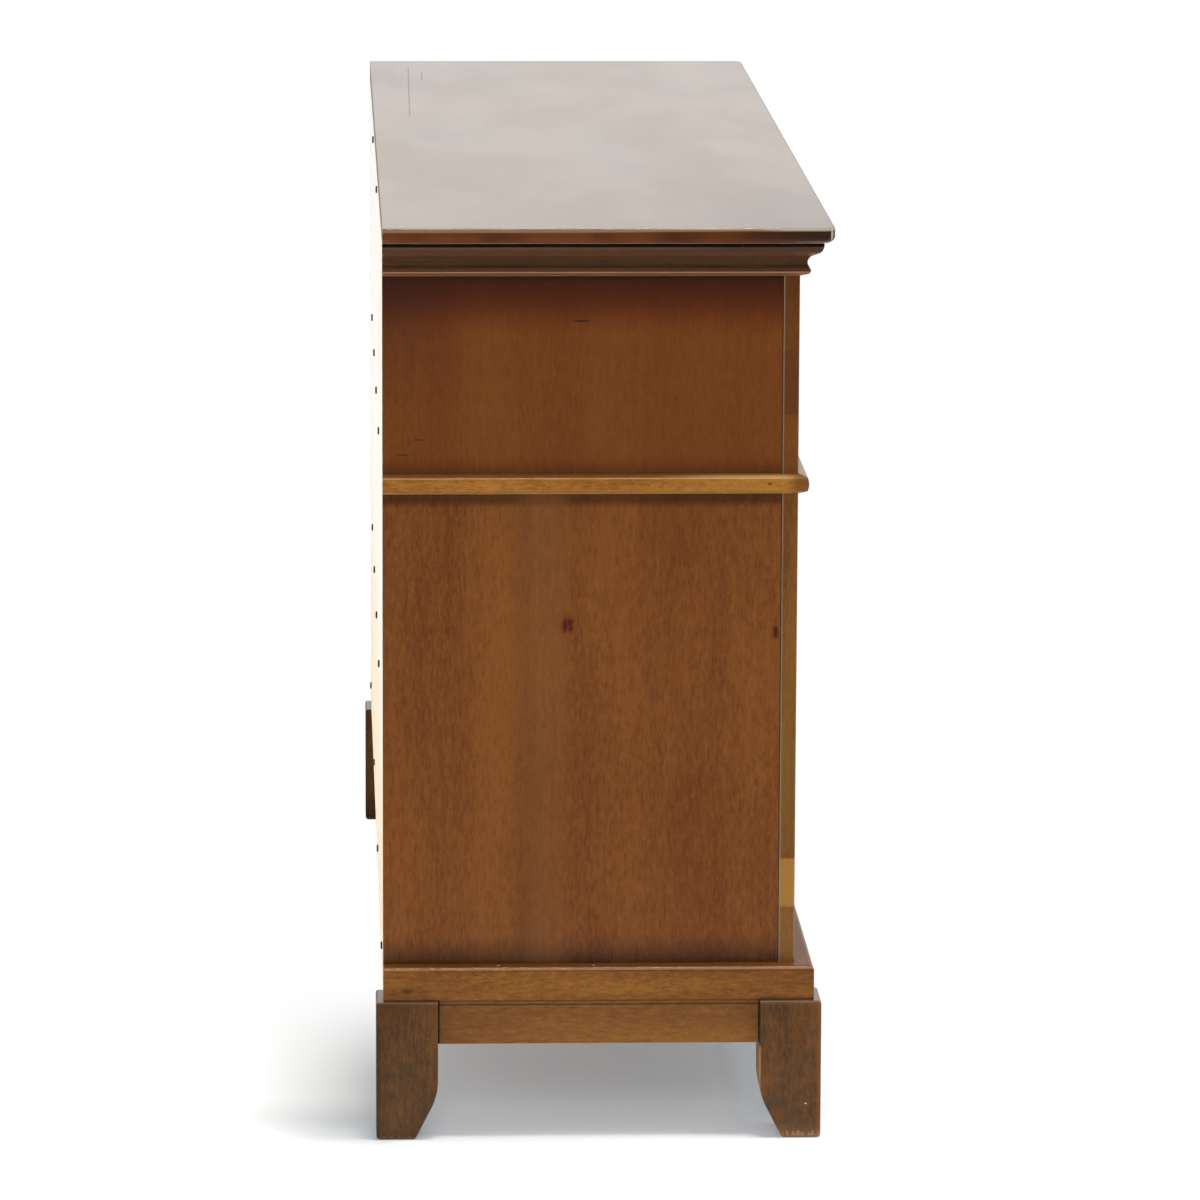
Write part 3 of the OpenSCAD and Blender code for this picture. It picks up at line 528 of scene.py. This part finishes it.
# Feet
# Four bracket feet sawn from thick stock, with a swept inner edge. Their stain took unevenly,
# so they are dark and mottled, with bare wood showing along the worn lowest edge.
apron_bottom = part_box("left_apron")[0].z
inner_face = 0.1634
feet = ("front_left_foot", "front_right_foot", "rear_left_foot", "rear_right_foot")
for number, foot in enumerate(feet):
    low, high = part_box(foot)
    front = "front" in foot
    wood = Wood(f"{foot}_wood", 2, plain(72, 43, 12), plain(108, 69, 24), 0.9 + 2 * number,
                bands=34.0, clouds=0.5)
    rise, depth = wood.axis("Z"), wood.axis("Y")
    below_top = high.z - rise
    outward = abs(depth)
    blotch = wood.between(wood.noise(wood.fibres(1.5), 30.0, 4.0, 0.6), 0.46, 0.64)
    wood.stain(plain(58, 44, 24), blotch * 0.50)
    flame = wood.between(wood.noise(wood.fibres(3, grain=1), 80.0, 3.0, 0.6), 0.48, 0.66)
    wood.stain(plain(120, 72, 36), flame * (0.30 if front else 0.12))
    streak = wood.between(wood.noise(wood.fibres(7), 260.0, 3.0, 0.6), 0.42, 0.62)
    wood.stain(plain(48, 32, 18), streak * 0.12)

    # Painted light makes the face towards the apron paler where it hangs free, and painted shade makes
    # it dark where it meets the apron.
    inner = wood.between(outward, inner_face + 0.0008, inner_face - 0.0008)
    wood.stain(plain(178, 140, 98), inner * 0.6)
    wood.shade(inner * wood.between(rise, apron_bottom - 0.001, apron_bottom + 0.001), 0.92)

    # The lowest edge is worn to bare wood, more so in front.
    worn_height = 0.006 if front else 0.002
    bare = wood.between(wood.noise(wood.fibres(4), 240.0, 3.0, 0.6), 0.40, 0.60)
    worn = wood.between(rise - bare * worn_height, 0.0030, 0.0010)
    wood.stain(plain(168, 142, 116), worn * (0.60 if front else 0.30))
    # Painted light lifts the lowest few centimetres of the front feet, and painted shade darkens those
    # of the rear feet.
    if front:
        wood.stain(plain(150, 106, 66), wood.between(rise, 0.022, 0.0) * 0.35)
    else:
        wood.shade(wood.between(rise, 0.034, 0.0), 0.26)

    # Painted shade greys the glossy ledge at the top, and its rounded edge is dull, with a painted grey
    # sheen.
    shaded_ledge = wood.between(below_top, 0.0006, 0.0002)
    wood.stain(plain(74, 62, 52), shaded_ledge * 0.8)
    round_edge_sheen = wood.band(below_top, 0.0006, 0.0030, 0.0005)
    wood.stain(plain(104, 88, 76), round_edge_sheen * (0.35 if front else 0.15))
    dull = wood.band(below_top, 0.0007, 0.0034, 0.0004)
    outer_face = max(abs(low.y), abs(high.y))
    outer = wood.between(outward, outer_face - 0.006, outer_face - 0.001)
    # Painted light on the outer edge of the front feet, painted shade on that of the rear ones.
    if front:
        wood.stain(plain(142, 86, 40), outer * 0.35)
    else:
        wood.shade(outer, 0.30)
    if foot == "front_left_foot":
        wood.mark(plain(232, 224, 210), (low.x, -0.2100, 0.0366), (into_wood, 0.0011, 0.0010))
    lacquer = (0.32 + shaded_ledge * 0.48) * (1 - inner * 0.9) * (1 - dull * 0.9)
    eased(foot, wood.finish(coat=lacquer), ease=0.0018)


# Aprons
# Boards between the feet, under the base moulding, with a straight lower edge. A fine groove runs
# along them just below the moulding; painted shade lines it, runs under the moulding and darkens their
# ends beside the feet.
def dashes(wood, amount, fineness=380.0):
    """Short red-brown flecks along the grain."""
    fleck = wood.between(wood.noise(wood.fibres(5), fineness, 2.0), 0.56, 0.72)
    wood.stain(plain(86, 42, 16), fleck * amount)


for side, grain, seed in (("front", 0, 3.1), ("left", 1, 5.2), ("right", 1, 6.6)):
    low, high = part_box(f"{side}_apron")
    wood = Wood(f"{side}_apron_wood", grain, plain(110, 67, 20), plain(137, 88, 30), seed, bands=36.0)
    below_top = high.z - wood.axis("Z")
    dashes(wood, 0.30)
    # Painted shade in the groove and under the moulding.
    wood.shade(wood.band(below_top, 0.0048, 0.0064, 0.0006), 0.70)
    wood.shade(wood.between(below_top, 0.0020, 0.0010), 0.70)
    axis, half_length = ("X", high.x) if side == "front" else ("Y", high.y)
    shaded_ends = wood.between(half_length - abs(wood.axis(axis)), 0.0022, 0.0010)
    wood.shade(shaded_ends, 0.85)
    eased(f"{side}_apron", wood.finish(coat=0.35 - shaded_ends * 0.3), ease=0.0006)


# Base moulding
# A flat golden brown band round the foot of the case, mitred at the corners and rounded on its
# upper edge, which has a painted highlight. Painted shade darkens its top, most against the case.
def inward(wood, side, low, high):
    """How far a place lies behind the face of a moulding."""
    if side == "front":
        return wood.axis("Y") - low.y
    return wood.axis("X") - low.x if side == "left" else high.x - wood.axis("X")


for side, grain, seed in (("front", 0, 1.7), ("left", 1, 4.4), ("right", 1, 8.8)):
    low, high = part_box(f"base_moulding_{side}")
    wood = Wood(f"base_{side}_wood", grain, plain(108, 64, 18), plain(146, 95, 33), seed,
                bands=42.0, clouds=0.25)
    rise = wood.axis("Z")
    below_top = high.z - rise
    dashes(wood, 0.28)
    # Painted shade along the lower edge and over the top, darkest against the case; a painted highlight
    # on the rounded arris, with painted shade just under it.
    wood.shade(wood.between(rise, low.z + 0.002, low.z), 0.35)
    wood.stain(plain(84, 46, 22), wood.between(below_top, 0.0008, 0.0003) * 0.7)
    wood.shade(wood.between(inward(wood, side, low, high), 0.0165, 0.0190), 0.45)
    wood.stain(plain(168, 132, 102), wood.band(below_top, 0.0019, 0.0029, 0.0006) * 0.38)
    wood.shade(wood.band(below_top, 0.0035, 0.0045, 0.0006), 0.25)
    if side == "left":
        wood.mark(plain(74, 40, 26), (low.x, 0.1997, 0.1548), (into_wood, 0.008, 0.004), 0.7, 1.0)
        chipped_x = -0.7945
        for y in (0.0084, 0.1066):
            wood.mark(plain(226, 210, 186), (chipped_x, y, high.z), (0.0020, 0.0016, 0.004))
    lacquer = 0.35 - wood.between(below_top, 0.0034, 0.0022) * 0.22
    eased(f"base_moulding_{side}", wood.finish(coat=lacquer), ease=0.0012)

# Belt moulding
# A narrow band round the case below the top drawers, with a top that falls outwards. Its wood is
# the most golden, with short dark flecks, and it turns red brown at the left front corner.
for side, grain, seed in (("front", 0, 2.6), ("left", 1, 3.9), ("right", 1, 9.7)):
    low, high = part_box(f"belt_moulding_{side}")
    wood = Wood(f"belt_{side}_wood", grain, plain(130, 77, 20), plain(168, 112, 42), seed,
                bands=46.0, clouds=0.25)
    depth = wood.axis("Y")
    above_foot = wood.axis("Z") - low.z
    behind = inward(wood, side, low, high)
    dashes(wood, 0.40)
    # Painted light on the underside, and a painted reflection of the panel on the top near the case.
    wood.stain(plain(206, 152, 92), wood.between(above_foot, 0.0036, 0.0016) * 0.60)
    upper = wood.between(above_foot, 0.0172, 0.0184)
    wood.stain(plain(118, 68, 34), upper * wood.between(behind, 0.0024, 0.0100) * 0.85)
    # A painted highlight on the top arris.
    belt_arris_highlight = wood.band(behind, 0.0006, 0.0016, 0.0006) * wood.between(above_foot, 0.0165, 0.0175)
    wood.stain(plain(206, 164, 120), belt_arris_highlight * 0.6)
    if side == "left":
        yellow = wood.between(depth, -0.040, -0.130)
        # A painted highlight on the crest towards the front.
        crest_highlight = wood.band(above_foot, 0.0174, 0.0194, 0.0006)
        wood.stain(plain(236, 196, 138), yellow * crest_highlight * 0.50)
        wood.stain(plain(168, 122, 46), yellow * 0.30)
        wood.stain(plain(108, 58, 26), wood.between(depth, -0.184, -0.200) * 0.75)
        wood.mark(plain(70, 38, 20), (low.x, -0.1688, 0.6808), (into_wood, 0.003, 0.002), 0.8, 0.8)
    eased(f"belt_moulding_{side}", wood.finish(coat=0.5), ease=0.0004)

# Crown moulding
# A cove under a wide round, with a bead below, mitred round the case under the top. Its light and
# shade are painted in bands, given here by height over its foot: a highlight on the bead, shade in the
# cove.
crown_light_and_shade_bands = (
    (-0.0010, 0.0018, (156, 112, 72), 0.80), (0.0018, 0.0038, (116, 80, 50), 0.80),
    (0.0046, 0.0054, (166, 124, 92), 0.70), (0.0072, 0.0093, (86, 60, 42), 0.80),
    (0.0100, 0.0144, (68, 52, 38), 0.50), (0.0150, 0.0165, (68, 47, 28), 0.60),
    (0.0172, 0.0208, (70, 39, 10), 0.85), (0.0217, 0.0256, (100, 67, 45), 0.75),
    (0.0262, 0.0294, (74, 46, 22), 0.80), (0.0299, 0.0322, (96, 70, 52), 0.60))
for side, grain, seed in (("front", 0, 1.9), ("left", 1, 7.7), ("right", 1, 6.1)):
    low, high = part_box(f"crown_moulding_{side}")
    wood = Wood(f"crown_{side}_wood", grain, plain(58, 33, 14), plain(88, 53, 26), seed,
                bands=60.0, clouds=0.2)
    above_foot = wood.axis("Z") - low.z
    dashes(wood, 0.35, fineness=300.0)
    for start, end, colour, share in crown_light_and_shade_bands:
        wood.stain(plain(*colour), wood.band(above_foot, start, end, 0.0005) * share)
    # Streaked painted shade in the lower cove, a painted shadow under the top and painted shade on the
    # upper front.
    streak = wood.between(wood.noise(wood.fibres(9), 240.0, 3.0, 0.6), 0.38, 0.56)
    wood.shade(wood.band(above_foot, 0.0099, 0.0120, 0.0010) * (0.4 + streak * 0.6), 0.35)
    wood.shade(wood.between(above_foot, 0.0319, 0.0325), 0.50)
    shaded_upper_front = wood.between(wood.axis("Y"), -0.06, -0.14) * wood.between(above_foot, 0.026, 0.030)
    wood.shade(shaded_upper_front, 0.20)
    eased(f"crown_moulding_{side}", wood.finish(specular=0.1, coat=0.3), ease=0.0004)

# Lifting frame
# Thin strips that hold the top a little clear of the crown, so that it seems to float. Their near black
# is painted shade for the gap under the top.
strips = Wood("strip_wood", 0, plain(14, 9, 6), plain(26, 17, 12), 5.5, bands=30.0)
eased("top_lift_frame", strips.finish(coat=0.3), ease=0.0003)

# Top
# A slab edged with solid wood, stained dark reddish brown and lacquered to a soft sheen, with a
# small round above and a wide one below. Two fine cracks run along it at the far end of the back.
low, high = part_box("top_panel")
wood = Wood("top_wood", 0, plain(73, 44, 20), plain(97, 62, 31), 4.1, bands=12.0, clouds=0.4)
length, depth, rise = wood.axis("X"), wood.axis("Y"), wood.axis("Z")
below_top, above_foot = high.z - rise, rise - low.z

# The edge is redder and clouded, and it darkens towards the front.
edge = wood.between(below_top, 0.0010, 0.0030)
patch = wood.between(wood.noise(wood.fibres(2.5), 16.0, 3.0), 0.40, 0.62)
edge_colour = wood.blend(plain(80, 40, 13), plain(103, 53, 17), patch)
wood.stain(edge_colour, edge * 0.9)
wood.shade(wood.between(depth, -0.020, -0.060) * edge, 0.20)
wood.stain(plain(44, 30, 18), wood.between(depth, -0.135, -0.222) * edge * 0.85)
# Painted light and reflection on the wide round below, brightest near its foot.
wood.stain(plain(120, 80, 58), wood.between(above_foot, 0.0036, 0.0024) * 0.25)
wood.stain(plain(226, 176, 136), wood.between(above_foot, 0.0014, 0.0008) * 0.7)

# Its upper arris carries a painted highlight, grey near the front, and so does the upright left front
# corner.
lower_arris = below_top + wood.between(depth, 0.05, -0.16) * 0.0011
top_arris_highlight = wood.band(lower_arris, 0.0018, 0.0040, 0.0005)
near_front = wood.between(depth, -0.150, -0.190)
wood.stain(wood.blend(plain(150, 115, 92), plain(168, 156, 140), near_front), top_arris_highlight * 0.75)
corner = (low.x + 0.0035, low.y + 0.0035, high.z - 0.0075)
wood.mark(plain(190, 180, 165), corner, (0.0022, 0.0022, 0.012), 0.8)

long_crack = ((0.7336, 0.1788), (0.483, 0.1814), (0.215, 0.1837))
short_crack = ((0.6869, 0.1630), (0.595, 0.1644))
cracks = length * 0
for points in (long_crack, short_crack):
    for (x0, y0), (x1, y1) in zip(points, points[1:]):
        run = y0 + (length - x0) * ((y1 - y0) / (x1 - x0))
        near = wood.between(abs(depth - run), 0.0012, 0.0005) * wood.band(length, x1, x0, 0.004)
        wood.shade(near, 0.45)
        cracks = cracks + near

# The flat top is painted greyer and its lacquer made thinner at the left front, dimming the reflection
# there, and the lacquer is thin on the arrises.
dimmed_reflection = wood.between(length, -0.10, -0.78) * wood.between(depth, 0.10, -0.20)
flat = wood.between(below_top, 0.0006, 0.0001)
wood.stain(plain(64, 62, 58), dimmed_reflection * flat * 0.5)
sheen = wood.noise(wood.fibres(3), 9.0, 3.0)
ripple = wood.noise(wood.fibres(12), 120.0, 2.0)
rim = wood.band(below_top, 0.0001, 0.0012, 0.0001)
wood.relief = (wood.relief * 0.3 + ripple * 0.35) * (1 - rim)
lacquer = (0.90 + wood.between(sheen, 0.35, 0.65) * 0.10) * (1 - dimmed_reflection * 0.14)
lacquer = lacquer * (1 - cracks * 0.35) * (1 - rim * (0.35 + near_front * 0.4))
dull = wood.band(below_top, 0.0012, 0.0044, 0.0005) + wood.band(above_foot, 0.0032, 0.0086, 0.0004)
lacquer = lacquer * (1 - dull * 0.85)
eased("top_panel", wood.finish(coat=lacquer, coat_roughness=0.10), ease=0.0004)

# Drawers
# Seven boxes of pale wood with stained fronts set flush inside the case, three small ones over
# two rows of two. Thin bottoms slide in grooves, and each box runs on a guide under its middle.
drawers = (
    "top_left", "top_middle", "top_right", "upper_left", "upper_right", "lower_left", "lower_right")
side_thickness, stained_rim, knob_radius = 0.012, 0.012, 0.016
for number, name in enumerate(f"{row}_drawer" for row in drawers):
    low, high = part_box(f"{name}_box")

    def along_sides(wood, low=low, high=high):
        """1 on the two side boards, whose grain runs from front to back."""
        across_box = wood.node("ShaderNodeSeparateXYZ", inputs={0: wood.spot}, output="X")
        off_middle = abs(across_box - (low.x + high.x) / 2)
        edge_of_side = (high.x - low.x) / 2 - side_thickness
        return wood.between(off_middle, edge_of_side - 0.0005, edge_of_side + 0.0005)

    side_wood = raw(f"{name}_side_wood", 0, 2.2 + number, (186, 146, 98), (214, 178, 130), along_sides)
    eased(f"{name}_box", side_wood, body=name)
    board = raw(f"{name}_bottom_board", 0, 9.1 + number, (196, 166, 124), (216, 190, 150))
    eased(f"{name}_bottom", board, body=name, ease=0.0003)

    # The fronts are stained darker towards their edges.
    low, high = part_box(f"{name}_front")
    wood = Wood(f"{name}_front_wood", 0, plain(102, 56, 27), plain(134, 82, 42), 5.7 + number,
                bands=15.0, pores=0.4)
    red = wood.noise(wood.fibres(3), 8.0, 2.0)
    wood.stain(plain(118, 58, 26), wood.between(red, 0.42, 0.68) * 0.35)
    for place, start, end in ((wood.axis("Z"), low.z, high.z), (wood.axis("X"), low.x, high.x)):
        middle = wood.band(place, start + stained_rim, end - stained_rim, stained_rim)
        wood.shade(1 - middle, 0.20)
    eased(f"{name}_front", wood.finish(), body=name, ease=0.0012)

    # The knobs are turned from bronze, darkened and rubbed bright again on the rim, and each
    # is held by a screw through the front.
    low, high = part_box(f"{name}_knobs")
    bronze = Wood(f"{name}_bronze", 1, plain(52, 38, 28), plain(84, 62, 44), 1.3 + number,
                  bands=160.0, pores=0.0)
    centre = (low + high) / 2
    knob_offset = high.x - centre.x - knob_radius
    from_axis = abs(abs(bronze.axis("X") - centre.x) - knob_offset)
    radial = bronze.node("ShaderNodeCombineXYZ", inputs={0: from_axis, 2: bronze.axis("Z") - centre.z})
    radius = bronze.node("ShaderNodeVectorMath", {"operation": "LENGTH"}, {0: radial}, output="Value")
    rub = bronze.noise(bronze.spot, 260.0, 4.0, 0.6)
    rubbed = bronze.between(radius + rub * 0.003, 0.0148, 0.0172)
    bronze.stain(plain(176, 132, 84), rubbed * 0.75)
    bronze.relief = rub
    bronze.roughness = 0.30 + rub * 0.22
    wear(f"{name}_knobs", bronze.finish(depth=0.00004, specular=0.5, coat=0.0, metallic=0.9))
